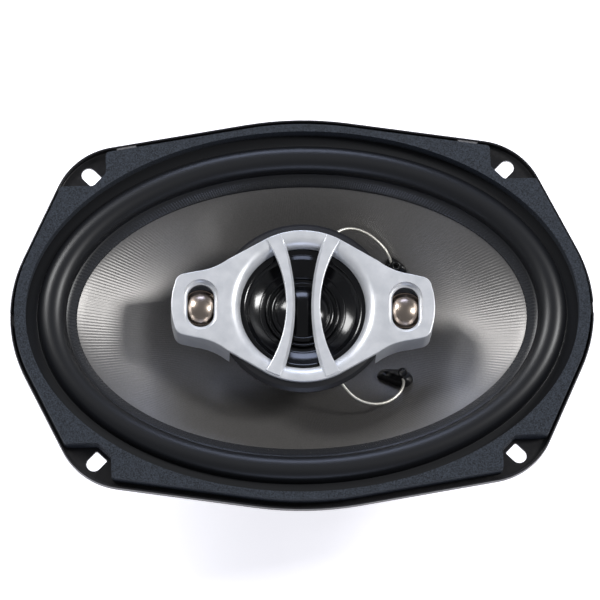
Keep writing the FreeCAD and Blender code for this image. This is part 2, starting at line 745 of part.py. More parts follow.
# ---- pod
def bezel_half_outline():
    """Edges of the bezel's outline through the first quadrant, from the Y axis to the X axis."""
    flank = math.radians(bezel_flank)
    touch, crown = (V(bezel_radius * math.cos(angle), bezel_radius * math.sin(angle), 0)
                    for angle in (flank, (flank + math.pi / 2) / 2))
    top = V(0, bezel_radius, 0)
    waist_start, waist_mid, shoulder, corner_start, corner_mid, corner_end = (
        V(tweeter_x + x, y, 0) for x, y in wing_side)
    return [Part.Arc(top, crown, touch).toShape(), Part.LineSegment(touch, waist_start).toShape(),
            Part.Arc(waist_start, waist_mid, shoulder).toShape(),
            Part.LineSegment(shoulder, corner_start).toShape(),
            Part.Arc(corner_start, corner_mid, corner_end).toShape()], corner_end


def bezel_outline():
    quarter, corner = bezel_half_outline()
    quarter = Part.Wire(quarter)
    mirror_y = quarter.mirror(ORIGIN, V(0, 1, 0))
    tip = V(wing_tip, 0, 0)
    end = Part.Arc(corner, tip, V(corner.x, -corner.y, 0)).toShape()
    right = [quarter, mirror_y, end]
    left = [w.mirror(ORIGIN, V(1, 0, 0)) for w in right]
    edges = [e for w in right + left for e in w.Edges]
    return Part.Wire(Part.__sortEdges__(edges))


def pod_outline_block(z_low, z_high, inset=0.0):
    wire = bezel_outline()
    if inset:
        wire = wire.makeOffset2D(-inset)
    wire.translate(V(0, 0, z_low))
    return Part.Face(wire).extrude(V(0, 0, z_high - z_low))


def cup_profile(offset, top_inset=0.0):
    """Outer profile of the cup (offset 0) or one inside it, from under the bezel down to the floor."""
    shoulder_in, shoulder_drop, rim_drop = cup_shoulder
    at_shoulder, at_rim, at_lip, at_step, at_foot = (offset * share for share in cup_slant)
    return [(bezel_radius - cup_top_inset - top_inset, bezel_back),
            (cup_rim_radius - shoulder_in - at_shoulder, bezel_back - shoulder_drop - at_shoulder),
            (cup_rim_radius - offset, bezel_back - rim_drop - at_rim),
            (cup_rim_radius - offset, bezel_back - cup_lip - at_lip),
            (cup_rim_radius - cup_step - offset, bezel_back - cup_lip - cup_step_drop - at_step),
            (cup_rim_radius - cup_taper - offset, cup_bottom + cup_chamfer - at_foot),
            (cup_rim_radius - cup_taper - cup_floor_inset - offset, cup_bottom + offset)]


def cup_block():
    return turned(cup_profile(0) + [(0, cup_bottom), (0, bezel_back)])


def recess_block(side):
    """Outside of the pocket behind one tweeter's slot."""
    return stadium(tweeter_recess_width, tweeter_recess_length, recess_z - recess_floor, bezel_back,
                   side * tweeter_x)


def make_pod_cup():
    inner = turned(cup_profile(cup_wall, cup_top_wall) + [(0, cup_floor), (0, bezel_back)])
    pockets = []
    for side in (-1, 1):
        well = disc(dome_radius + dome_clearance, dome_base_z - dome_clearance, bezel_back, side * tweeter_x)
        pockets += [twisted(recess_block(side)), twisted(well)]
    return cup_block().cut([inner, disc(post_radius, cup_bottom - 1, cup_floor + 1)] + pockets)


def bar_pair():
    """The two bars across the midrange opening, bowed towards each other at the middle."""
    z_low, z_high = pod_face + bar_front - bar_depth, pod_face + bar_front
    end_in, end_out = (bezel_radius - inset for inset in bar_end_inset)
    inner = [V(bar_inner[1], end_in, z_low), V(bar_inner[0], 0, z_low), V(bar_inner[1], -end_in, z_low)]
    outer = [V(bar_outer[1], -end_out, z_low), V(bar_outer[0], 0, z_low), V(bar_outer[1], end_out, z_low)]
    wire = Part.Wire([Part.Arc(*inner).toShape(), Part.LineSegment(inner[2], outer[0]).toShape(),
                      Part.Arc(*outer).toShape(), Part.LineSegment(outer[2], inner[0]).toShape()])
    bar = Part.Face(wire).extrude(V(0, 0, z_high - z_low))
    sides = sorted((e for e in bar.Edges if e.BoundBox.ZMin > z_high - 0.01 and e.Length > bezel_radius),
                   key=lambda e: e.BoundBox.XMax)
    bar = bar.makeChamfer(*bar_bevel, sides[:1])
    outer_side = [e for e in bar.Edges if e.BoundBox.ZMin > z_high - 0.01
                  and abs(e.BoundBox.XMax - bar_outer[1]) < 0.01 and e.Length > bezel_radius]
    bar = bar.makeFillet(bezel_fillet, outer_side)
    bar = bar.common(disc(bezel_radius - bar_outline_gap, z_low - 1, z_high + 1))
    return [bar, mirrored_x(bar)]


def make_pod_bezel():
    wing_back = pod_face - wing_depth
    plate = pod_outline_block(bezel_back, pod_face)
    plate = plate.makeFillet(bezel_fillet, [e for e in plate.Edges if e.BoundBox.ZMin > pod_face - 0.01])
    skirt = pod_outline_block(wing_back, bezel_back).cut(pod_outline_block(wing_back, bezel_back, wing_wall))
    middle = box(-wing_start, wing_start, -wing_tip, wing_tip, wing_back - 1, pod_face)
    skirt = skirt.cut([cup_block(), middle])
    skirt = skirt.cut(disc(cup_rim_radius, wing_back - 1, bezel_back))
    curve = [(bezel_lip_radius - bezel_lip * math.sin(angle),
              bezel_opening_z + (pod_face - bezel_opening_z) * math.cos(angle))
             for angle in (math.pi / 2 * k / lip_steps for k in range(lip_steps + 1))]
    opening = turned([(0, pod_face + 1), (bezel_lip_radius, pod_face + 1)] + curve + [(0, bezel_opening_z)])
    lip = turned([(bezel_lip_radius + lip_wall, bezel_back), (bezel_opening_radius, bezel_back),
                  (bezel_opening_radius, bezel_opening_z),
                  (bezel_opening_radius + lip_wall, bezel_opening_z - lip_underside)])
    parts = [skirt, lip]
    cuts = [opening]
    for side in (-1, 1):
        x = side * tweeter_x
        z = recess_z
        parts.append(recess_block(side))
        cuts.append(stadium(tweeter_slot_width, tweeter_slot_length, z - 2, pod_face + 1, x))
        dish = stadium(tweeter_recess_width - recess_floor, tweeter_recess_length - recess_floor, z,
                       pod_face + 1, x)
        dish = dish.makeFillet(recess_fillet, [e for e in dish.Edges if e.BoundBox.ZMax < z + 0.01])
        cuts.append(dish)
    body = plate.fuse(parts).cut(cuts).fuse(bar_pair()).removeSplitter()
    return body


def make_wing_back():
    """Back cover of the right-hand wing, inside its skirt."""
    low = pod_face - wing_depth
    cover = pod_outline_block(low, low + wing_cover, wing_wall)
    keep = box(wing_start, wing_tip, -wing_tip, wing_tip, low, low + wing_cover)
    return cover.common(keep).cut(disc(cup_rim_radius, low - 1, low + wing_cover + 1))


def cup_radius_at(z):
    """Radius of the cup's outer wall at a height on its tapered part."""
    (r_high, z_high), (r_low, z_low) = cup_profile(0)[4:6]
    return r_low + (r_high - r_low) * (z - z_low) / (z_high - z_low)


def make_lead_grommets():
    """Short rubber sleeves where the two front leads leave the cup's wall."""
    sleeves = []
    for route in (lead_upper_route, lead_lower_route):
        start, after = V(*route[0]), V(*route[1])
        back = (start - after).normalize()
        mouth = V(start.x, start.y, 0).normalize() * (cup_radius_at(start.z) + grommet_reach)
        sleeve = Part.makeCylinder(grommet_radius, grommet_length, mouth + V(0, 0, start.z), back)
        sleeves.append(sleeve.cut(cup_block()))
    return Part.makeCompound([max(s.Solids, key=lambda one: one.Volume) for s in sleeves])


# ---- midrange
def make_mid_yoke():
    hollow = disc(mid_pot_radius - mid_pot_wall, mid_pot_back + mid_pot_base, mid_pot_front + 1)
    return disc(mid_pot_radius, mid_pot_back, mid_pot_front).cut(hollow)


def make_mid_magnet():
    return disc(mid_coil_radius - mid_magnet_gap, mid_pot_back + mid_pot_base, mid_plate_back)


def make_mid_pole_plate():
    return disc(mid_coil_radius - mid_coil_wall - mid_gap, mid_plate_back, mid_pot_front)


def make_mid_coil():
    return tube(mid_coil_radius, mid_coil_radius - mid_coil_wall, mid_pot_front - mid_coil_back, mid_coil_top)


def make_mid_frame():
    flange_low = mid_edge_z - mid_frame_flange
    inner = mid_frame_radius - mid_frame_land
    foot_outside, foot_inside = (mid_pot_front - drop for drop in mid_frame_foot)
    return turned([(mid_pot_radius, foot_outside), (mid_frame_radius, flange_low),
                   (mid_frame_radius, mid_edge_z), (inner, mid_edge_z), (inner, flange_low + mid_frame_ledge),
                   (mid_pot_radius, foot_inside)])


def make_mid_surround():
    outer = mid_frame_radius - mid_film_inset
    overlap = mid_cone_radius - mid_overlap[0]
    front_foot, back_foot = mid_roll_foot
    crest_out, crest_in = mid_roll_crest
    z = mid_edge_z
    top = z + mid_film
    crest = z + mid_roll_height
    return turned([(outer, z), (outer, top), (front_foot, top), (crest_out, crest + mid_film),
                   (crest_in, crest + mid_film), (mid_cone_radius + mid_film, top),
                   (overlap, mid_cone_edge_z + mid_film), (overlap, mid_cone_edge_z), (mid_cone_radius, z),
                   (crest_in, crest), (crest_out, crest), (back_foot, z)])


def make_mid_cone():
    bend = mid_cone_radius - mid_overlap[0]
    under = mid_cone_radius - mid_overlap[1]
    return turned([(mid_coil_radius, mid_neck_z), (bend, mid_cone_edge_z), (mid_cone_radius, mid_edge_z),
                   (mid_cone_radius, mid_edge_z - mid_skin), (under, mid_cone_edge_z - mid_skin),
                   (mid_coil_radius, mid_neck_z - mid_skin)])


def mid_cone_front(radius):
    """Height of the midrange cone's front at a radius."""
    slope = (mid_cone_edge_z - mid_neck_z) / (mid_cone_radius - mid_overlap[0] - mid_coil_radius)
    return mid_neck_z + (radius - mid_coil_radius) * slope


def make_mid_ring():
    edge = mid_ring_edge
    top = mid_cone_front(mid_ring_outer) + mid_ring_height
    return turned([(mid_ring_inner, mid_cone_front(mid_ring_inner)),
                   (mid_ring_outer, mid_cone_front(mid_ring_outer)),
                   (mid_ring_outer, top - edge), (mid_ring_outer - edge, top), (mid_ring_inner + edge, top),
                   (mid_ring_inner, top - edge)])


def spherical_cap(radius, height, skin, base_z, x=0.0):
    """Thin dome: the part of a spherical shell above its base plane."""
    ball_radius = (radius ** 2 + height ** 2) / (2 * height)
    centre = V(x, 0, base_z + height - ball_radius)
    shell = Part.makeSphere(ball_radius, centre).cut(Part.makeSphere(ball_radius - skin, centre))
    keep = box(x - radius - 1, x + radius + 1, -radius - 1, radius + 1, base_z, base_z + height + 1)
    return shell.common(keep)


def make_mid_dome():
    return spherical_cap(mid_coil_radius, mid_dome_height, mid_skin, mid_coil_top)


# ---- tweeters, built for the right-hand wing
def make_tweeter_dome():
    return spherical_cap(dome_radius, dome_height, dome_skin, dome_base_z, tweeter_x)


def make_tweeter_frame():
    low, high = (dome_base_z - depth for depth in tweeter_frame_depths)
    return tube(tweeter_frame_radius, tweeter_pot_radius, low, high, tweeter_x)


def make_tweeter_pot():
    low, high = (dome_base_z - depth for depth in tweeter_pot_depths)
    hollow = disc(tweeter_pot_radius - tweeter_pot_wall, low + tweeter_pot_base, dome_base_z, tweeter_x)
    return disc(tweeter_pot_radius, low, high, tweeter_x).cut(hollow)


def make_tweeter_magnet():
    low, high = (dome_base_z - depth for depth in tweeter_pot_depths)
    return disc(tweeter_magnet_radius, low + tweeter_pot_base, high, tweeter_x)


def build():
    nodes = {
        "basket": make_basket(),
        "front_gasket": make_front_gasket(),
        "surround": make_surround(),
        "cone": make_cone(),
        "spider": make_spider(),
        "voice_coil_former": tube(former_outer, former_inner, former_bottom, neck_z),
        "voice_coil_winding": tube(winding_outer, former_outer, winding_bottom, winding_top),
        "dust_seal": make_dust_seal(),
        "lead_anchor_upper": lead_anchor(lead_upper_route[-1], upper_anchor),
        "lead_anchor_lower": lead_anchor(lead_lower_route[-1], lower_anchor),
        "cone_eyelets": make_cone_eyelets(),
        "top_plate": make_top_plate(),
        "magnet_ring": make_magnet_ring(),
        "yoke": make_yoke(),
        "magnet_boot": make_magnet_boot(),
        "plate_rivets": make_plate_rivets(),
        "terminal_board": make_terminal_board(),
        "terminal_positive": make_terminal(1, blade_wide),
        "terminal_negative": make_terminal(-1, blade_narrow),
        "terminal_rivets": make_terminal_rivets(),
        "crossover_capacitor": make_capacitor(),
        "pod_post": disc(post_radius, yoke_back, post_top),
        "post_washer": tube(washer_radius, post_radius, yoke_back + nut_height,
                            yoke_back + nut_height + washer_thickness),
        "post_nut_rear": hexagon(nut_across_flats, yoke_back, yoke_back + nut_height).cut(
            disc(post_radius, yoke_back - 1, yoke_back + 9)),
        "post_nut_pod": hexagon(nut_across_flats, cup_floor, post_top).cut(
            disc(post_radius, cup_floor - 1, post_top + 1)),
        "pod_cup": make_pod_cup(),
        "lead_grommets": make_lead_grommets(),
        "mid_yoke": make_mid_yoke(),
        "mid_magnet": make_mid_magnet(),
        "mid_pole_plate": make_mid_pole_plate(),
        "mid_coil": make_mid_coil(),
        "mid_frame": make_mid_frame(),
        "mid_surround": make_mid_surround(),
        "mid_cone": make_mid_cone(),
        "mid_ring": make_mid_ring(),
        "mid_dome": make_mid_dome(),
        "pod_bezel": twisted(make_pod_bezel()),
        "tinsel_lead_upper": routed_tube(lead_upper_route, lead_diameter),
        "tinsel_lead_lower": routed_tube(lead_lower_route, lead_diameter),
    }
    nodes["lead_anchor_upper"] = nodes["lead_anchor_upper"].cut(nodes["tinsel_lead_upper"])
    nodes["lead_anchor_lower"] = nodes["lead_anchor_lower"].cut(nodes["tinsel_lead_lower"])
    right_hand = {"wing_back": make_wing_back(), "tweeter_dome": make_tweeter_dome(),
                  "tweeter_frame": make_tweeter_frame(), "tweeter_pot": make_tweeter_pot(),
                  "tweeter_magnet": make_tweeter_magnet()}
    for name, shape in right_hand.items():
        nodes[name + "_right"] = twisted(shape)
        nodes[name + "_left"] = twisted(mirrored_x(shape))
    return nodes


os.makedirs("parts", exist_ok=True)
for node_name, node_shape in build().items():
    node_shape.exportStep("parts/" + node_name + ".step")
    print("%-22s solids %d valid %s volume %9.1f  z %.1f..%.1f" % (
        node_name, len(node_shape.Solids), node_shape.isValid(), node_shape.Volume,
        node_shape.BoundBox.ZMin, node_shape.BoundBox.ZMax))
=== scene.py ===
import json
import math

import bmesh
import bpy
import numpy as np
from mathutils import Matrix, Vector

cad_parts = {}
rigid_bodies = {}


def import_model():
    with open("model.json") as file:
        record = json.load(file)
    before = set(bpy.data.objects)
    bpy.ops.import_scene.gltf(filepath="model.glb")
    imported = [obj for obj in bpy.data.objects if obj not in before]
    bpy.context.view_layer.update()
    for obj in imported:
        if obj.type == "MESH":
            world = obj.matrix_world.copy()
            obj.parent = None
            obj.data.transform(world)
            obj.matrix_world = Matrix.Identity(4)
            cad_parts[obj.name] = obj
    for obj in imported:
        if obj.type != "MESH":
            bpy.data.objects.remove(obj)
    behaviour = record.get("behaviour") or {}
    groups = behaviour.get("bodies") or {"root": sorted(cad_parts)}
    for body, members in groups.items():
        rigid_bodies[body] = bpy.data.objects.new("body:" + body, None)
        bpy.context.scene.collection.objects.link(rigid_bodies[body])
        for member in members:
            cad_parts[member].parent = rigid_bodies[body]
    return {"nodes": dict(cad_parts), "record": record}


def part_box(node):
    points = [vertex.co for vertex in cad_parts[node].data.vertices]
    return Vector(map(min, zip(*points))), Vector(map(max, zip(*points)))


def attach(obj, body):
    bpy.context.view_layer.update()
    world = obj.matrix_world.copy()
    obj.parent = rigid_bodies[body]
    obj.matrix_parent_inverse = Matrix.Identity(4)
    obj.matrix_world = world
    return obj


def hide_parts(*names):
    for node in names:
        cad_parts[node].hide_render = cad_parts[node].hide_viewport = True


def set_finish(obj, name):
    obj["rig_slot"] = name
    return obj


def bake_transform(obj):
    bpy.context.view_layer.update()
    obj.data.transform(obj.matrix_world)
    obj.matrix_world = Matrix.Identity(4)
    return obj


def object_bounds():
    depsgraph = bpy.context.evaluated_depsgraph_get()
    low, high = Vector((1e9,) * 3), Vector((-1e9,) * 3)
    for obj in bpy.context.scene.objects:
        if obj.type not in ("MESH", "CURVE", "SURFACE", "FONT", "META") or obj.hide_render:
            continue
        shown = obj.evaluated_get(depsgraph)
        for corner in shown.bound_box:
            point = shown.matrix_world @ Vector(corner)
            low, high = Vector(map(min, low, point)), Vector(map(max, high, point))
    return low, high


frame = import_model()
cad_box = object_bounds()
nodes = frame["nodes"]
body_members = frame["record"]["behaviour"]["bodies"]
body_of_node = {name: body for body, members in body_members.items() for name in members}
slot_of_node = {s["node"]: s["material_slot"] for s in frame["record"]["subparts"]}
MM = 0.001
print("pieces in the frame:", len(nodes))

# %% [markdown]
# ## The camera
# A product photograph of a speaker is taken from far away with a long lens, so that the oval isn't
# distorted. We stand two metres off, a little below the axis, and tilt the camera up slightly so that the
# speaker sits just under the middle of the frame.
# %% Camera
CAMERA_DISTANCE = 2.0
CAMERA_LENS = 295.3             # millimetres, on a sensor 36 wide
TILT = math.radians(17.75)      # how far below the axis the camera stands
YAW = math.radians(2.2)         # how far to the left of it
ROLL = math.radians(-1.75)
AIM = (-0.94, 6.2)              # millimetres right and up of the speaker's origin, as the camera sees it


def camera_axes():
    """Right, up and back directions: back points from the speaker to the camera; roll turns the others."""
    back = np.array([-math.sin(YAW) * math.cos(TILT), -math.sin(TILT), math.cos(TILT) * math.cos(YAW)])
    back /= np.linalg.norm(back)
    up = np.array([0, 1, 0]) - back[1] * back
    up /= np.linalg.norm(up)
    right = np.cross(up, back)
    turned_right = math.cos(ROLL) * right + math.sin(ROLL) * up
    return turned_right, np.cross(back, turned_right), back


right, up, back = camera_axes()
camera = bpy.data.objects.new("camera", bpy.data.cameras.new("camera"))
bpy.context.scene.collection.objects.link(camera)
camera.data.lens = CAMERA_LENS
place = (right * AIM[0] + up * AIM[1]) * MM + back * CAMERA_DISTANCE
camera.matrix_world = Matrix([[right[k], up[k], back[k], place[k]] for k in range(3)] + [[0, 0, 0, 1]])
bpy.context.scene.camera = camera
bpy.context.scene.view_settings.view_transform = "Standard"

# %% [markdown]
# ## Meshes from grids
# Almost every rounded piece here is a grid of points: rows run one way over the surface and columns the
# other, and each four neighbours make a face. We work the points out as whole arrays, in millimetres, and
# hand them to Blender in one go.
# %% Grid to mesh
def surface(name, grid, wrap_rows=False, wrap_columns=True):
    """Mesh of quads between neighbouring grid points, faces outwards; a wrapped direction closes up."""
    rows, columns = grid.shape[:2]
    index = np.arange(rows * columns).reshape(rows, columns)
    if wrap_rows:
        index = np.vstack([index, index[:1]])
    if wrap_columns:
        index = np.hstack([index, index[:, :1]])
    v_at, u_at = np.meshgrid(np.arange(index.shape[0]), np.arange(index.shape[1]), indexing="ij")

    def corners(values):
        four = [values[:-1, :-1], values[:-1, 1:], values[1:, 1:], values[1:, :-1]]
        return np.stack(four, axis=-1).reshape(-1, 4)

    quads, u_at, v_at = corners(index), corners(u_at), corners(v_at)
    flat = grid.reshape(-1, 3)
    if signed_volume(flat, quads) < 0:
        quads, u_at, v_at = quads[:, ::-1], u_at[:, ::-1], v_at[:, ::-1]
    mesh = bpy.data.meshes.new(name)
    mesh.vertices.add(rows * columns)
    mesh.vertices.foreach_set("co", (flat * MM).astype(np.float32).ravel())
    mesh.loops.add(quads.size)
    mesh.polygons.add(len(quads))
    mesh.polygons.foreach_set("loop_start", np.arange(0, quads.size, 4, dtype=np.int32))
    mesh.loops.foreach_set("vertex_index", quads.astype(np.int32).ravel())
    layer = mesh.uv_layers.new(name="grid")
    uv = np.stack([u_at / (index.shape[1] - 1), v_at / (index.shape[0] - 1)], axis=-1)
    layer.data.foreach_set("uv", uv.astype(np.float32).ravel())
    mesh.update(calc_edges=True)
    mesh.polygons.foreach_set("use_smooth", np.ones(len(quads), dtype=bool))
    piece = bpy.data.objects.new(name, mesh)
    bpy.context.scene.collection.objects.link(piece)
    return piece


def signed_volume(points, quads):
    """Sum of the volumes between the quads' triangles and the origin; negative if faces look inwards."""
    a, b, c, d = (points[quads[:, k]] for k in range(4))
    return float((np.cross(a, b) * c).sum() + (np.cross(a, c) * d).sum())


def around(count):
    """Evenly spaced angles round the axis."""
    return np.arange(count) * (2 * math.pi / count)


def soften(profile, passes=2):
    """Corner cutting: each pass replaces a closed line's points with points a quarter along its sides."""
    for _ in range(passes):
        after = np.roll(profile, -1, axis=0)
        near, far = 0.75 * profile + 0.25 * after, 0.25 * profile + 0.75 * after
        profile = np.stack([near, far], axis=1).reshape(-1, 2)
    return profile


def turned(name, profile, columns=128, centre=(0.0, 0.0)):
    """Lathe: the profile's (radius, height) points carried round a vertical axis through centre."""
    angles = around(columns)
    radius, height = profile[:, 0][:, None], profile[:, 1][:, None]
    grid = np.stack([centre[0] + radius * np.cos(angles), centre[1] + radius * np.sin(angles),
                     height + 0 * angles], axis=-1)
    return surface(name, grid, wrap_rows=True)


def stands_for(piece, *names):
    """The piece takes the place and the finish slot of these nodes, which are hidden."""
    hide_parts(*names)
    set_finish(piece, slot_of_node[names[0]])
    return piece


# %% [markdown]
# ## The oval
# All the woofer's soft rings are ellipses that sit a fixed distance inside the flange's half length and
# half width. An inset of 0 touches the flange's outline at its four middles, so one function gives the
# gasket's edge, the surround's feet and the cone's edge.
# %% Oval rings
flange_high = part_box("basket")[1]
HALF_LENGTH = flange_high.x / MM
HALF_WIDTH = flange_high.y / MM


def oval(inset, z, angles):
    """Ellipse points: half axes are the flange's half sizes less the inset, at the ellipse's own angles."""
    inset, z = np.asarray(inset, float)[..., None], np.asarray(z, float)[..., None]
    return np.stack([(HALF_LENGTH - inset) * np.cos(angles), (HALF_WIDTH - inset) * np.sin(angles),
                     z + 0 * angles], axis=-1)


print("half length %.1f mm, half width %.1f mm" % (HALF_LENGTH, HALF_WIDTH))

# %% [markdown]
# ## The leads
# Two short braids of tinsel, copper foil wound on thread, loop over the front of the cone from the pod
# and carry the current across the moving gap. Each is a smooth NURBS line through listed control
# points, and the braid follows that line: its radius swells where strands of the two windings cross.
# %% Lead routes
LEAD_DIAMETER = 0.0012
STRANDS = 6
STRAND_LAY = 3.2                # millimetres along the lead for one turn of a winding
STRAND_DEPTH = 0.28             # depth of the gaps between strands, as a share of the radius
lead_routes = {
    "tinsel_lead_upper": [
        (0.0119, 0.0284, -0.0035), (0.0126, 0.0336, -0.0042), (0.0162, 0.0380, -0.0056),
        (0.0220, 0.0394, -0.0069), (0.0280, 0.0374, -0.0080), (0.0330, 0.0335, -0.0093),
        (0.0366, 0.0292, -0.0110), (0.0380, 0.0256, -0.0144)],
    "tinsel_lead_lower": [
        (0.0146, -0.0271, -0.0035), (0.0176, -0.0316, -0.0044), (0.0226, -0.0352, -0.0058),
        (0.0290, -0.0366, -0.0068), (0.0352, -0.0348, -0.0078), (0.0396, -0.0306, -0.0090),
        (0.0412, -0.0258, -0.0112), (0.0406, -0.0226, -0.0149)],
}


def nurbs_line(route):
    """Points along a NURBS curve of order 3 that starts and ends at the route's ends."""
    curve = bpy.data.curves.new("route", "CURVE")
    curve.dimensions = "3D"
    curve.resolution_u = 48
    spline = curve.splines.new("NURBS")
    spline.points.add(len(route) - 1)
    for point, corner in zip(spline.points, route):
        point.co = (*corner, 1.0)
    spline.order_u = 3
    spline.use_endpoint_u = True
    holder = bpy.data.objects.new("route", curve)
    mesh = bpy.data.meshes.new_from_object(holder)
    line = np.array([v.co[:] for v in mesh.vertices])
    bpy.data.objects.remove(holder)
    bpy.data.meshes.remove(mesh)
    return line


def even_steps(line, step):
    """The same line with points an even distance apart, and the distance at each."""
    along = np.concatenate([[0], np.cumsum(np.linalg.norm(np.diff(line, axis=0), axis=1))])
    wanted = np.linspace(0, along[-1], max(2, round(along[-1] / step)) + 1)
    return np.stack([np.interp(wanted, along, line[:, k]) for k in range(3)], axis=1), wanted


def carried_frames(line):
    """Two side directions at every point, carried along the line without twist (ring by ring)."""
    ahead = np.gradient(line, axis=0)
    ahead /= np.linalg.norm(ahead, axis=1, keepdims=True)
    side = np.zeros_like(line)
    side[0] = np.cross(ahead[0], [0.0, 0.0, 1.0])
    for k in range(1, len(line)):
        side[k] = side[k - 1] - ahead[k] * (side[k - 1] @ ahead[k])
        side[k] /= np.linalg.norm(side[k])
    side[0] /= np.linalg.norm(side[0])
    return side, np.cross(ahead, side)


def braid(name, route):
    """Braided tube: two windings of strands cross, and the radius follows the outer of the two."""
    line, along = even_steps(nurbs_line(route), 0.12 * MM)
    side, other = carried_frames(line)
    angles = around(28)
    turn = (along / MM / STRAND_LAY * 2 * math.pi)[:, None]
    one = np.abs(np.cos(STRANDS / 2 * (angles + turn)))
    two = np.abs(np.cos(STRANDS / 2 * (angles - turn)))
    radius = LEAD_DIAMETER / 2 * (1 - STRAND_DEPTH + STRAND_DEPTH * np.maximum(one, two) ** 0.7)
    ring = side[:, None] * np.cos(angles)[:, None] + other[:, None] * np.sin(angles)[:, None]
    points = line[:, None] + ring * radius[..., None]
    ends = [np.repeat(line[k][None, None], len(angles), axis=1) for k in (0, -1)]
    grid = np.concatenate([ends[0], points, ends[1]])
    piece = surface(name + "_braid", grid / MM)
    stands_for(piece, name)
    length = float(along[-1])
    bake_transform(piece)
    share = np.concatenate([[0], along / length, [1]])
    set_follow(np.repeat(share, len(angles)))
    print("%s: %.1f mm long" % (name, length / MM))
    return piece


def set_follow(share):
    """Clips the shares to between 0 and 1; nothing stores the result, so no point follows the moving body."""
    share = np.clip(share, 0, 1)


leads = [braid(name, route) for name, route in lead_routes.items()]

# %% [markdown]
# ## The cone
# The woofer's cone is mica-filled polypropylene with a fine radial grain of ridges, about a millimetre
# and a third apart at the edge, which make the bright fans of light at both ends of the oval. The ridges
# are real here: their height follows a cosine of the angle round the axis, shrinking towards the neck so
# that their slope stays the same.
# %% Cone
CONE_EDGE_INSET = 27.0
CONE_RIM_INSET = 22.3
CONE_EDGE_Z = -2.8
CONE_RIM_Z = 0.2
CONE_WALL = 0.7
former_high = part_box("voice_coil_former")[1]
NECK_RADIUS = former_high.x / MM
NECK_Z = former_high.z / MM
RIDGES = 424
RIDGE_HEIGHT = 0.055            # crest above the mean, at the cone's edge
RIDGE_FADE = 0.02               # share of the cone, from its edge, over which the ridges rise


def cone_level(share, angles):
    """Oval at a share of the way from the cone's edge to its neck: half axes and height are mixed."""
    share = np.asarray(share, float)[:, None]
    half_x = (1 - share) * (HALF_LENGTH - CONE_EDGE_INSET) + share * NECK_RADIUS
    half_y = (1 - share) * (HALF_WIDTH - CONE_EDGE_INSET) + share * NECK_RADIUS
    height = (1 - share) * CONE_EDGE_Z + share * NECK_Z
    radius = half_x * half_y / np.sqrt((half_y * np.cos(angles)) ** 2 + (half_x * np.sin(angles)) ** 2)
    return np.stack([radius * np.cos(angles), radius * np.sin(angles), height + 0 * angles], axis=-1)


def make_cone():
    angles = around(RIDGES * 4)
    front = cone_level(np.linspace(0, 1, 26), angles)
    share = np.linspace(0, 1, 26)[:, None]
    fade = np.clip(share / RIDGE_FADE, 0, 1) * (1 - share)
    front[..., 2] += RIDGE_HEIGHT * fade * np.cos(RIDGES * angles)
    back = cone_level(np.linspace(1, 0, 5), angles)
    back[..., 2] -= CONE_WALL
    rim_angles = np.arctan2(back[-1, :, 1] / (HALF_WIDTH - CONE_EDGE_INSET),
                            back[-1, :, 0] / (HALF_LENGTH - CONE_EDGE_INSET))
    rim = oval([CONE_RIM_INSET, CONE_RIM_INSET], [CONE_RIM_Z - CONE_WALL, CONE_RIM_Z], rim_angles)
    piece = surface("cone_body", np.concatenate([front, back, rim]), wrap_rows=True)
    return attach(stands_for(piece, "cone"), "woofer")


cone = make_cone()
print("cone faces:", len(cone.data.polygons))

# %% [markdown]
# ## The surround
# A half roll of butyl rubber lets the cone travel. Its section runs from the land under the gasket, over
# the roll, down into a groove and along the band that is glued on the cone. Each point of the section is
# an inset and a height, and becomes one oval ring.
# %% Surround
LAND_Z = 2.0
RUBBER = 0.8
ROLL_OUT, ROLL_IN = 11.0, 22.5
ROLL_TOP = 6.95
LAND_OUT = 3.7
ROLL_FOOT_Z = 1.1               # the roll's inner foot, on the cone's rim
GROOVE = [[22.9, 0.95], [23.6, 0.55]]           # from the roll's foot down to the glued band
BAND_END = [[26.5, -1.75], [26.95, -2.25]]      # the band's thin edge on the cone


def arch(outer, inner, foot_out, foot_in, top, count):
    """Half ellipse over the gap between two feet, as (inset, height) points."""
    t = np.linspace(0, math.pi, count)
    inset = (outer + inner) / 2 - (inner - outer) / 2 * np.cos(t)
    foot = foot_out + (foot_in - foot_out) * t / math.pi
    return np.stack([inset, foot + (top - (foot_out + foot_in) / 2) * np.sin(t)], axis=1)


def make_surround():
    """Closed section: top side outwards to inwards, then the underside back."""
    under = LAND_Z - RUBBER
    upper = np.vstack([[[LAND_OUT, LAND_Z], [6.0, LAND_Z], [ROLL_OUT - 0.5, LAND_Z]],
                       arch(ROLL_OUT, ROLL_IN, LAND_Z, ROLL_FOOT_Z, ROLL_TOP, 33), GROOVE, BAND_END])
    lower = np.vstack([[[BAND_END[1][0], CONE_EDGE_Z + 0.03], [GROOVE[0][0], CONE_RIM_Z - 0.3]],
                       arch(ROLL_IN - RUBBER, ROLL_OUT + RUBBER, 0.4, under + 0.05, ROLL_TOP - RUBBER, 17),
                       [[ROLL_OUT - 0.2, under], [LAND_OUT, under]]])
    section = soften(np.vstack([upper, lower]), 1)
    angles = around(288)
    grid = oval(section[:, 0], section[:, 1], angles)
    piece = surface("surround_roll", grid, wrap_rows=True)
    stands_for(piece, "surround")
    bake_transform(piece)
    share = (section[:, 0] - ROLL_OUT) / (ROLL_IN - ROLL_OUT)
    set_follow(np.repeat(share, len(angles)))
    band = np.clip((section[:, 0] - 23.0) / 1.2, 0, 1)
    layer = piece.data.attributes.new("glue_band", "FLOAT", "POINT")
    layer.data.foreach_set("value", np.repeat(band, len(angles)).astype(np.float32))
    return piece


surround = make_surround()
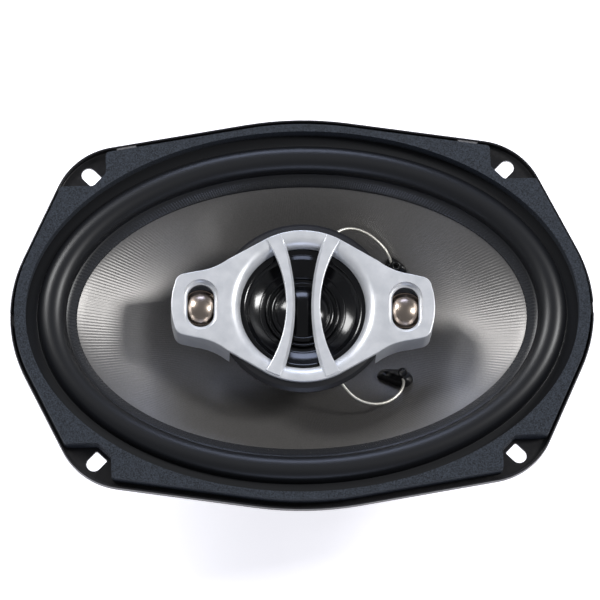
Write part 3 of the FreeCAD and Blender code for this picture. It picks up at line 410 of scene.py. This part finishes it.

# %% [markdown]
# ## The spider
# Behind the cone a disc of resin-dipped cloth centres the voice coil. It is pressed into rings of waves,
# so its section is a sine between the former and the ledge.
# %% Spider
spider_low, spider_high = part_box("spider")
SPIDER_Z = 0.5 * (spider_low.z + spider_high.z) / MM
SPIDER_RADIUS = spider_high.x / MM
SPIDER_FLAT_IN, SPIDER_FLAT_OUT = NECK_RADIUS + 2.6, 48.0
SPIDER_WAVES = 6
SPIDER_WAVE = 1.15
SPIDER_CLOTH = 0.22             # half of the cloth's thickness


def make_spider():
    radius = np.linspace(NECK_RADIUS, SPIDER_RADIUS, 150)
    share = np.clip((radius - SPIDER_FLAT_IN) / (SPIDER_FLAT_OUT - SPIDER_FLAT_IN), 0, 1)
    wave = SPIDER_Z + SPIDER_WAVE * np.sin(share * 2 * math.pi * SPIDER_WAVES)
    upper = np.stack([radius, wave + SPIDER_CLOTH], axis=1)
    lower = np.stack([radius, wave - SPIDER_CLOTH], axis=1)[::-1]
    piece = turned("spider_disc", np.vstack([upper, lower]), columns=160)
    stands_for(piece, "spider")
    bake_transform(piece)
    follow = 1 - np.concatenate([share, share[::-1]])
    set_follow(np.repeat(follow, 160))
    return piece


spider = make_spider()

# %% [markdown]
# ## The midrange
# Behind the bars sits a glossy black midrange. Its cone rises from the coil in a short step and then ever
# more steeply to a half-roll surround, so a soft box shows in it as one small spot. A thin moulded ring
# runs round its face, and a bead round the foot of its dome.
# %% Midrange
def skin(profile, wall):
    """Closed thin section: the front line, then the same line moved back by the wall."""
    behind = profile[::-1] - [0, wall]
    return np.vstack([profile, behind])


def bump_ring(radius, centre, half_width, height):
    """Rounded ring on a surface: height times a Gaussian of the distance from its centre line."""
    return height * np.exp(-((radius - centre) / half_width) ** 2)


def turned_size(name):
    """Outer radius, top and bottom of a round node on the axis, in millimetres."""
    low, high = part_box(name)
    return high.x / MM, high.z / MM, low.z / MM


MID_RING_RADIUS, MID_RING_TOP, _ = turned_size("mid_ring")
MID_CONE_RADIUS, MID_CONE_TOP, MID_CONE_LOW = turned_size("mid_cone")
MID_DOME_RADIUS, MID_DOME_TOP, MID_DOME_LOW = turned_size("mid_dome")
RING_THICKNESS = 0.55           # half of the moulded ring's width
DOME_BEAD_HEIGHT = 0.75


NECK_STEP = 0.42                # short steep rise at the coil, which keeps the cone clear of the magnet pot


def make_mid_cone():
    radius = np.linspace(MID_DOME_RADIUS, MID_CONE_RADIUS, 90)
    share = (radius - MID_DOME_RADIUS) / (MID_CONE_RADIUS - MID_DOME_RADIUS)
    step = NECK_STEP * (1 - np.exp(-(radius - MID_DOME_RADIUS) / 0.25))
    z = MID_CONE_LOW + 0.3 + step
    z = z + (MID_CONE_TOP - MID_CONE_LOW - 0.3 - NECK_STEP) * (0.06 * share + 0.94 * share ** 2)
    z = z + bump_ring(radius, 17.4, 0.14, 0.07)
    z = np.minimum(z, MID_CONE_TOP)
    piece = turned("mid_cone_skin", skin(np.stack([radius, z], axis=1), 0.28))
    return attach(stands_for(piece, "mid_cone"), "midrange")


def make_mid_ring():
    t = around(24)
    centre = MID_RING_RADIUS - RING_THICKNESS
    profile = np.stack([centre + RING_THICKNESS * np.cos(t), MID_RING_TOP - 0.62 + 0.62 * np.sin(t)], axis=1)
    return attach(stands_for(turned("mid_ring_bead", profile), "mid_ring"), "midrange")


def make_mid_dome():
    skirt = MID_DOME_RADIUS + 0.35          # just outside the coil, which it hides
    bead = arch(skirt, MID_DOME_RADIUS - 1.9, 0, 0, DOME_BEAD_HEIGHT, 17)
    bead = np.stack([bead[:, 0], MID_DOME_LOW + 0.1 + bead[:, 1]], axis=1)
    bead = np.vstack([[[skirt, MID_DOME_LOW - 0.6]], bead])
    radius = np.linspace(MID_DOME_RADIUS - 2.1, 0.0, 30)
    cap = MID_DOME_TOP - 0.02 - (MID_DOME_TOP - MID_DOME_LOW - 0.25) * (radius / radius[0]) ** 2.1
    profile = np.vstack([bead, np.stack([radius, cap], axis=1)])
    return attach(stands_for(turned("mid_dome_skin", skin(profile, 0.22)), "mid_dome"), "midrange")


def make_mid_surround():
    outer, top, _ = turned_size("mid_surround")
    low = MID_CONE_TOP + 0.05
    foot_out, foot_in = MID_CONE_RADIUS + 4.4, MID_CONE_RADIUS + 0.5
    roll = arch(foot_out, foot_in, low, low, top - 0.05, 19)
    profile = np.vstack([[[outer, low]], roll, [[MID_CONE_RADIUS - 0.9, low - 0.1]]])
    section = skin(profile, 0.25)
    piece = turned("mid_surround_roll", section)
    stands_for(piece, "mid_surround")
    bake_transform(piece)
    share = (foot_out - section[:, 0]) / (foot_out - foot_in)
    set_follow(np.repeat(share, 128))
    return piece


midrange = [make_mid_cone(), make_mid_ring(), make_mid_dome(), make_mid_surround()]

# %% [markdown]
# ## The tweeters
# Each tweeter is a thin metallised dome with a tiny rolled edge, behind an upright slot.
# %% Tweeter domes
def make_tweeter(side):
    """Spherical cap with a rolled edge; the ball's radius comes from the cap's radius and rise."""
    low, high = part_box("tweeter_dome_" + side)
    centre = ((low.x + high.x) / 2 / MM, (low.y + high.y) / 2 / MM)
    radius, base, top = (high.x - low.x) / 2 / MM, low.z / MM, high.z / MM
    edge = arch(radius, radius - 0.3, 0, 0, 0.15, 9)
    edge = np.stack([edge[:, 0], base + 0.26 + edge[:, 1]], axis=1)
    rim, rise = radius - 0.32, top - base - 0.3
    out = np.linspace(rim, 0.0, 40)
    ball = (rim ** 2 + rise ** 2) / (2 * rise)
    cap = top - ball + np.sqrt(ball ** 2 - out ** 2)
    profile = np.vstack([edge, np.stack([out, cap], axis=1)])
    piece = turned("tweeter_skin_" + side, skin(profile, 0.2), columns=96, centre=centre)
    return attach(stands_for(piece, "tweeter_dome_" + side), "tweeter_" + side)


tweeters = [make_tweeter("left"), make_tweeter("right")]

# %% [markdown]
# ## Coil winding
# The winding is a single layer of round wire, so its outside is a row of small rounded turns.
# %% Winding
WIRE = 0.42                     # height of one turn
WINDING_WALL = 0.4


def make_winding():
    """The outer radius dips by a quarter of a wire between turns, as the size of a sine does."""
    outer, top, low = turned_size("voice_coil_winding")
    inner = outer - WINDING_WALL
    z = np.linspace(low, top, 241)
    radius = outer - 0.11 * (1 - np.abs(np.sin(math.pi * (z - z[0]) / WIRE)))
    section = np.vstack([np.stack([radius, z], axis=1), [[inner, z[-1]], [inner, z[0]]]])
    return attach(stands_for(turned("winding_turns", section, columns=96), "voice_coil_winding"), "woofer")


winding = make_winding()

# %% [markdown]
# ## Glue beads
# Where a front lead meets the cone it runs into a bead of black adhesive with a small eyelet. A bead is
# a drawn-out drop: it swells above the cone's surface and has soft lumps. The height of the cone under
# any point comes from halving the range of oval levels until the level through that point is found.
# %% Beads
def cone_height(x, y):
    """Height of the cone's front at points: twenty-four halvings find the share whose oval passes there."""
    low, high = np.zeros_like(x), np.ones_like(x)
    for _ in range(24):
        middle = (low + high) / 2
        half_x = (1 - middle) * (HALF_LENGTH - CONE_EDGE_INSET) + middle * NECK_RADIUS
        half_y = (1 - middle) * (HALF_WIDTH - CONE_EDGE_INSET) + middle * NECK_RADIUS
        outside = (x / half_x) ** 2 + (y / half_y) ** 2 > 1
        low, high = np.where(outside, low, middle), np.where(outside, middle, high)
    return (1 - low) * CONE_EDGE_Z + low * NECK_Z


def make_bead(name, end, length, near_radius, far_radius, turn, height, seed):
    """Drop on the cone: its outline's radius changes from near to far along it, and its height falls off."""
    angles = around(96)
    axis = np.array([math.cos(math.radians(turn)), math.sin(math.radians(turn))])
    across = np.array([-axis[1], axis[0]])
    back = 0.5 - 0.5 * np.tanh(4 * np.cos(angles))
    rng = np.random.default_rng(seed)
    wobble = 1 + sum(rng.uniform(0.02, 0.07) * np.cos(k * angles + rng.uniform(0, 6)) for k in (2, 3, 5))
    radius = (near_radius * (1 - back) + far_radius * back) * wobble
    run = length - near_radius - far_radius
    reach = np.linspace(0, 1, 24)[:, None]
    along = -run * back + reach * radius * np.cos(angles)
    side = reach * radius * np.sin(angles)
    x = end[0] / MM + along * axis[0] + side * across[0]
    y = end[1] / MM + along * axis[1] + side * across[1]
    ground = cone_height(x, y)
    swell = height * np.sqrt(1 - reach ** 2.6) * (1 - 0.35 * back)
    lumps = 0.35 * (1 - reach ** 2) * np.sin(1.3 * x + 0.7) * np.cos(1.7 * y)
    top = np.stack([x, y, ground + swell + lumps], axis=-1)
    under = np.stack([x, y, ground - 0.1], axis=-1)[::-1]
    piece = surface(name + "_drop", np.concatenate([top, under]))
    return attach(stands_for(piece, name), "woofer")


def make_eyelet(name, centre, radius, wire, lean):
    """Ring with a lean about the x axis: a circle of small circles."""
    around_ring, around_wire = around(64)[:, None], around(16)
    out = radius + wire * np.cos(around_wire)
    x, y = out * np.cos(around_ring), out * np.sin(around_ring)
    z = wire * np.sin(around_wire) + 0 * around_ring
    lean = math.radians(lean)
    grid = np.stack([centre[0] + x, centre[1] + y * math.cos(lean) - z * math.sin(lean),
                     centre[2] + y * math.sin(lean) + z * math.cos(lean)], axis=-1)
    piece = surface(name, grid, wrap_rows=True)
    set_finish(piece, "black_glue")
    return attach(piece, "woofer")


upper_end, lower_end = lead_routes["tinsel_lead_upper"][-1], lead_routes["tinsel_lead_lower"][-1]
upper_eye = (upper_end[0] / MM + 1.6, upper_end[1] / MM - 1.2, -12.6)
lower_eye = (lower_end[0] / MM + 0.2, lower_end[1] / MM + 1.6, -13.2)
beads = [make_bead("lead_anchor_upper", upper_end, length=9.6, near_radius=3.2, far_radius=2.1, turn=155,
                   height=4.3, seed=3),
         make_bead("lead_anchor_lower", lower_end, length=14.6, near_radius=4.3, far_radius=2.7, turn=-24,
                   height=4.8, seed=7),
         make_eyelet("eyelet_lower", lower_eye, radius=1.5, wire=0.45, lean=20),
         make_eyelet("eyelet_upper", upper_eye, radius=1.4, wire=0.45, lean=20)]

# %% [markdown]
# ## Pieces from the frame, with rounded edges
# Pressed and moulded parts have no knife edges. For each rigid piece that shows, we copy the frame's
# mesh, merge its loose triangles, join those that lie flat, and bevel what is left, which gives every
# corner a thin line of light.
# %% Rounded copies
SHARP = math.radians(28)        # an edge that bends more than this is a corner


def rounded(name, width):
    """Copy of a node's mesh with merged points and bevelled corners, width in millimetres."""
    build = bmesh.new()
    build.from_mesh(nodes[name].data)
    bmesh.ops.remove_doubles(build, verts=build.verts, dist=0.002 * MM)
    bmesh.ops.join_triangles(build, faces=build.faces, angle_face_threshold=math.radians(0.4),
                             angle_shape_threshold=math.radians(120))
    for face in build.faces:
        face.smooth = True
    for edge in build.edges:
        edge.smooth = len(edge.link_faces) == 2 and edge.calc_face_angle(0.0) < SHARP
    mesh = bpy.data.meshes.new(name + "_finished")
    build.to_mesh(mesh)
    build.free()
    piece = bpy.data.objects.new(name + "_finished", mesh)
    bpy.context.scene.collection.objects.link(piece)
    bevel = piece.modifiers.new("edges", "BEVEL")
    bevel.width = width * MM
    bevel.segments = 2
    bevel.limit_method = "ANGLE"
    bevel.angle_limit = SHARP
    bevel.use_clamp_overlap = True
    bevel.harden_normals = True
    stands_for(piece, name)
    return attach(piece, body_of_node[name])


EDGE_WIDTHS = {
    "basket": 0.18, "front_gasket": 0.35, "pod_bezel": 0.22, "pod_cup": 0.3, "magnet_boot": 0.4,
    "magnet_ring": 0.4, "top_plate": 0.3, "yoke": 0.3, "terminal_board": 0.15, "terminal_positive": 0.08,
    "terminal_negative": 0.08, "post_nut_rear": 0.3, "post_washer": 0.12, "wing_back_left": 0.2,
    "wing_back_right": 0.2, "plate_rivets": 0.2, "terminal_rivets": 0.12,
}
finished = {name: rounded(name, width) for name, width in EDGE_WIDTHS.items()}

# %% [markdown]
# ## Finishes
# One function turns an sRGB hex colour into the linear values that a shader wants, and one adds a node to
# a tree. A pattern's size is given in millimetres: objects are in metres, so its scale is a thousand over
# that size.
# %% Material helpers
def linear(hex_colour):
    """sRGB hex to linear: each channel is divided or raised as the sRGB curve says."""
    channels = [int(hex_colour[k:k + 2], 16) / 255 for k in (1, 3, 5)]
    return tuple(c / 12.92 if c <= 0.04045 else ((c + 0.055) / 1.055) ** 2.4 for c in channels) + (1.0,)


def add(tree, kind, values=None, links=None, **settings):
    """Adds a shader node, sets its properties and socket values, and links its inputs."""
    node = tree.nodes.new("ShaderNode" + kind)
    for key, value in settings.items():
        setattr(node, key, value)
    for socket, value in (values or {}).items():
        node.inputs[socket].default_value = value
    for socket, source in (links or {}).items():
        tree.links.new(source, node.inputs[socket])
    return node


def scale_of(size_mm):
    """A pattern's scale: how many of its cells fit in a metre."""
    return 1000.0 / size_mm


def finish(name, colour, metallic=0.0, roughness=0.5):
    """A material with one Principled shader; returns the material, its tree and the shader."""
    material = bpy.data.materials.new(name)
    material.use_nodes = True
    tree = material.node_tree
    shader = tree.nodes["Principled BSDF"]
    shader.inputs["Base Color"].default_value = linear(colour)
    shader.inputs["Metallic"].default_value = metallic
    shader.inputs["Roughness"].default_value = roughness
    return material, tree, shader


def grain(tree, shader, size_mm, depth_mm, detail=3.0, colours=None, rough=None):
    """Noise of one size that drives bump and, if given, a blend of two colours and of two roughnesses."""
    where = add(tree, "TexCoord")
    noise = add(tree, "TexNoise", {"Scale": scale_of(size_mm), "Detail": detail, "Roughness": 0.6},
                {"Vector": where.outputs["Object"]})
    if depth_mm:
        bump = add(tree, "Bump", {"Strength": 1.0, "Distance": depth_mm * MM},
                   {"Height": noise.outputs["Fac"]})
        tree.links.new(bump.outputs["Normal"], shader.inputs["Normal"])
    if colours:
        ramp = add(tree, "ValToRGB", links={"Fac": noise.outputs["Fac"]})
        ramp.color_ramp.elements[0].position, ramp.color_ramp.elements[1].position = 0.35, 0.65
        ramp.color_ramp.elements[0].color, ramp.color_ramp.elements[1].color = map(linear, colours)
        tree.links.new(ramp.outputs["Color"], shader.inputs["Base Color"])
    if rough:
        limits = {"From Min": 0.3, "From Max": 0.7, "To Min": rough[0], "To Max": rough[1]}
        spread = add(tree, "MapRange", limits, {"Value": noise.outputs["Fac"]})
        tree.links.new(spread.outputs["Result"], shader.inputs["Roughness"])
    return noise


# %% [markdown]
# ### Black enamel on pressed steel
# The basket is dipped and baked: satin black, with a faint orange peel a couple of millimetres across.
# %% Basket enamel
enamel, tree, shader = finish("black_enamel_on_steel", "#1b1a1c", roughness=0.34)
grain(tree, shader, 1.6, 0.015, rough=(0.28, 0.42))

# %% [markdown]
# ### Closed-cell foam
# The gasket's cut foam is a dull blue-grey with pale and dark cells about half a millimetre wide.
# %% Gasket foam
foam, tree, shader = finish("closed_cell_foam", "#262a30", roughness=0.9)
grain(tree, shader, 0.55, 0.08, detail=5.0, colours=("#14171b", "#3a4049"))

# %% [markdown]
# ### Butyl rubber
# Moulded rubber is black with a soft satin gloss, smoother than the foam. The band glued on the cone is
# a little paler and glossier, and shows the cone's ridges: a cosine of the angle round the axis.
# %% Rubber
butyl, tree, shader = finish("moulded_butyl_rubber", "#151619", roughness=0.38)
where = add(tree, "TexCoord")
split = add(tree, "SeparateXYZ", links={"Vector": where.outputs["Object"]})
angle = add(tree, "Math", operation="ARCTAN2", links={0: split.outputs["Y"], 1: split.outputs["X"]})
phase = add(tree, "Math", {1: float(RIDGES)}, {0: angle.outputs[0]}, operation="MULTIPLY")
ridge = add(tree, "Math", operation="COSINE", links={0: phase.outputs[0]})
band = add(tree, "Attribute", attribute_name="glue_band")
height = add(tree, "Math", operation="MULTIPLY", links={0: ridge.outputs[0], 1: band.outputs["Fac"]})
ridges = add(tree, "Bump", {"Strength": 1.0, "Distance": 0.03 * MM}, {"Height": height.outputs[0]})
tree.links.new(ridges.outputs["Normal"], shader.inputs["Normal"])
lighter = add(tree, "Mix", {6: linear("#151619"), 7: linear("#2c2d30")}, {0: band.outputs["Fac"]},
              data_type="RGBA")
tree.links.new(lighter.outputs[2], shader.inputs["Base Color"])
smoother = add(tree, "MapRange", {"To Min": 0.38, "To Max": 0.24}, {"Value": band.outputs["Fac"]})
tree.links.new(smoother.outputs["Result"], shader.inputs["Roughness"])
boot_rubber, tree, shader = finish("moulded_boot_rubber", "#161617", roughness=0.6)
grain(tree, shader, 0.7, 0.02)

# %% [markdown]
# ### Mica-filled polypropylene
# Mica flakes give the cone a grey metallic sheen. The flakes are finer than a pixel, so they are drawn
# as a slight change of roughness.
# %% Cone plastic
mica, tree, shader = finish("mica_polypropylene", "#807e7c", metallic=0.7, roughness=0.4)
grain(tree, shader, 0.6, 0.003, colours=("#7b7977", "#858381"), rough=(0.37, 0.44))

# %% [markdown]
# ### Silver lacquer
# The bezel is ABS sprayed with silver lacquer: bright, satin, with a soft cloudiness.
# %% Silver lacquer
silver, tree, shader = finish("silver_lacquer_on_abs", "#e8eaec", metallic=0.45, roughness=0.36)
grain(tree, shader, 6.0, 0.008, detail=6.0, colours=("#e3e5e8", "#eeeff1"), rough=(0.32, 0.41))

# %% [markdown]
# ### Black plastics
# The cup is satin moulded ABS. The midrange's cone and dome are glossy black film.
# %% Black plastics
abs_black, tree, shader = finish("moulded_black_abs", "#1d1d20", roughness=0.38)
grain(tree, shader, 0.5, 0.01, rough=(0.33, 0.45))
film_black, tree, shader = finish("glossy_black_film", "#08080a", roughness=0.15)
grain(tree, shader, 6.0, 0.01, detail=1.0)

# %% [markdown]
# ### Metals
# Titanium-coated domes are champagne coloured and polished. Plated steel is duller, ferrite is a dark
# sintered stone, and the tinsel braid is silvery.
# %% Metals
titanium, tree, shader = finish("titanium_coated_film", "#b8a99c", metallic=1.0, roughness=0.26)
grain(tree, shader, 3.0, 0.003, detail=1.0)
zinc, tree, shader = finish("zinc_plated_steel", "#b9b7ae", metallic=1.0, roughness=0.34)
grain(tree, shader, 1.2, 0.006, rough=(0.28, 0.42))
ferrite, tree, shader = finish("sintered_ferrite", "#36373a", metallic=0.2, roughness=0.55)
grain(tree, shader, 0.5, 0.03, colours=("#2e2f32", "#424347"))
nickel, tree, shader = finish("nickel_plate", "#c8c4ba", metallic=1.0, roughness=0.22)
grain(tree, shader, 2.0, 0.003)
brass, tree, shader = finish("bright_brass", "#c9a55a", metallic=1.0, roughness=0.28)
grain(tree, shader, 1.0, 0.004)
tin, tree, shader = finish("tin_plate", "#c9c8c4", metallic=1.0, roughness=0.32)
grain(tree, shader, 1.0, 0.004)
foil, tree, shader = finish("rolled_aluminium_foil", "#cfd0d2", metallic=1.0, roughness=0.3)
grain(tree, shader, 1.0, 0.004)
copper, tree, shader = finish("enamelled_copper_wire", "#b5662f", metallic=1.0, roughness=0.3)
grain(tree, shader, 0.4, 0.02)
tinsel, tree, shader = finish("tinsel_braid", "#e9e6dc", metallic=0.75, roughness=0.4)
grain(tree, shader, 0.3, 0.01)

# %% [markdown]
# ### Cloth, felt, board, glue and sleeve
# The inner pieces get simple finishes at their real grain.
# %% Small finishes
cloth, tree, shader = finish("resin_dipped_cotton", "#b08a4e", roughness=0.8)
grain(tree, shader, 0.5, 0.06, colours=("#9c773d", "#c09a5c"))
felt, tree, shader = finish("black_felt", "#1a1a1a", roughness=0.98)
grain(tree, shader, 0.3, 0.1)
glue, tree, shader = finish("cured_black_adhesive", "#0b0b0d", roughness=0.36)
grain(tree, shader, 2.6, 0.12, detail=1.5)
phenolic, tree, shader = finish("phenolic_board", "#5a331b", roughness=0.5)
grain(tree, shader, 0.6, 0.01, colours=("#4e2b16", "#683d22"))
sleeve, tree, shader = finish("shrink_sleeve", "#16294d", roughness=0.3)
grain(tree, shader, 1.5, 0.01)

# %% Finish for every slot
FINISH_OF_SLOT = {
    "basket_paint": enamel, "gasket_foam": foam, "surround_rubber": butyl, "cone_mica": mica,
    "spider_cloth": cloth, "former_aluminium": foil, "winding_copper": copper, "seal_felt": felt,
    "black_glue": glue, "plated_steel": zinc, "ferrite": ferrite, "boot_rubber": boot_rubber,
    "board_phenolic": phenolic, "terminal_brass": brass, "terminal_tin": tin, "capacitor_sleeve": sleeve,
    "black_abs": abs_black, "silver_paint": silver, "neodymium": nickel, "gloss_black": film_black,
    "dome_titanium": titanium, "tinsel_braid": tinsel,
}


def dress(piece, slot_name):
    """Gives a piece the one finish of its slot."""
    piece.data.materials.clear()
    piece.data.materials.append(FINISH_OF_SLOT[slot_name])


for name, node in nodes.items():
    dress(node, slot_of_node[name])
for piece in [o for o in bpy.data.objects if "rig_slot" in o]:
    dress(piece, piece["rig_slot"])

# %% [markdown]
# ## Floor and light
# A white table that glows a little, two soft boxes and a pale room. One box stands to the upper left and
# throws the pod's shadow down to the right. The other is to the right, and lights the left end of the
# cone. Two dim bluish panels, above and below, put the cool lines on the rubber and the midrange.
# %% Floor
FLOOR_REACH = 6.0               # metres each way
floor_z = cad_box[0].z
floor_mesh = bpy.data.meshes.new("floor")
floor_corners = [(x * FLOOR_REACH, y * FLOOR_REACH, floor_z) for x, y in ((-1, -1), (1, -1), (1, 1), (-1, 1))]
floor_mesh.from_pydata(floor_corners, [], [(0, 1, 2, 3)])
floor = bpy.data.objects.new("floor", floor_mesh)
bpy.context.scene.collection.objects.link(floor)
paper, tree, shader = finish("lit_acrylic_table", "#f4f3f7", roughness=0.8)
shader.inputs["Emission Color"].default_value = linear("#fbfaff")
shader.inputs["Emission Strength"].default_value = 0.75
floor_mesh.materials.append(paper)


# %% Lights
def softbox(name, direction, distance, size, power, colour="#ffffff"):
    """Rectangular area light that faces the speaker's origin from a direction; size is width and height."""
    light = bpy.data.lights.new(name, "AREA")
    light.shape = "RECTANGLE"
    light.size, light.size_y = size
    light.energy = power
    light.color = linear(colour)[:3]
    lamp = bpy.data.objects.new(name, light)
    aim = np.array(direction, float) / np.linalg.norm(direction)
    lamp.location = aim * distance
    lamp.rotation_mode = "QUATERNION"
    lamp.rotation_quaternion = Vector(aim).to_track_quat("Z", "Y")
    bpy.context.scene.collection.objects.link(lamp)


softbox("box_left", (-0.60, 0.50, 0.62), 1.5, (0.36, 0.55), 11.5)
softbox("box_right", (0.70, 0.12, 0.70), 1.5, (0.26, 0.40), 12.0)
softbox("panel_top", (0.0, 0.92, 0.40), 1.2, (0.5, 0.35), 3.6, "#cfdcff")
softbox("panel_bottom", (0.02, -0.93, 0.36), 1.3, (0.5, 0.25), 1.8, "#cfdcff")
world = bpy.data.worlds.new("room")
world.use_nodes = True
world.node_tree.nodes["Background"].inputs["Color"].default_value = (0.9, 0.93, 1.0, 1.0)
world.node_tree.nodes["Background"].inputs["Strength"].default_value = 0.22
bpy.context.scene.world = world
